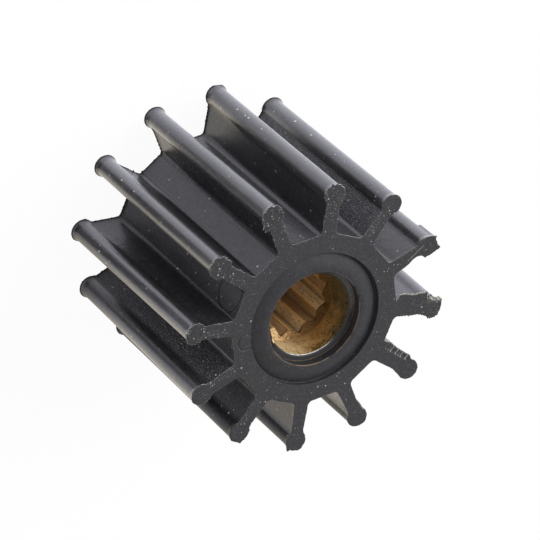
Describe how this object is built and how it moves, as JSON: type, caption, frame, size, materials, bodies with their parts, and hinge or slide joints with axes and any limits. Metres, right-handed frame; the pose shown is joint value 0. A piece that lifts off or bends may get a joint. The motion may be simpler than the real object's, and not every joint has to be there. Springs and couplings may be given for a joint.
{
  "type": "flexible pump impeller",
  "caption": "Moulded rubber pump impeller with a ring of straight beaded vanes on a hub, and a splined brass bush bonded in its bore.",
  "frame": {"origin": "centre of the bore in the plane of the rear end face, on which it stands", "axes": "+Z along the bore, from the rear end face to the front one; +X through the middle of a vane"},
  "size_m": [0.0572, 0.0572, 0.0476],
  "materials": {
    "rubber": "moulded, satin on the flanks and dusty on the ends",
    "brass": "bored and broached, tarnished"
  },
  "bodies": {
    "root": {"rubber_body": "rubber", "splined_bush": "brass"}
  },
  "joints": []
}
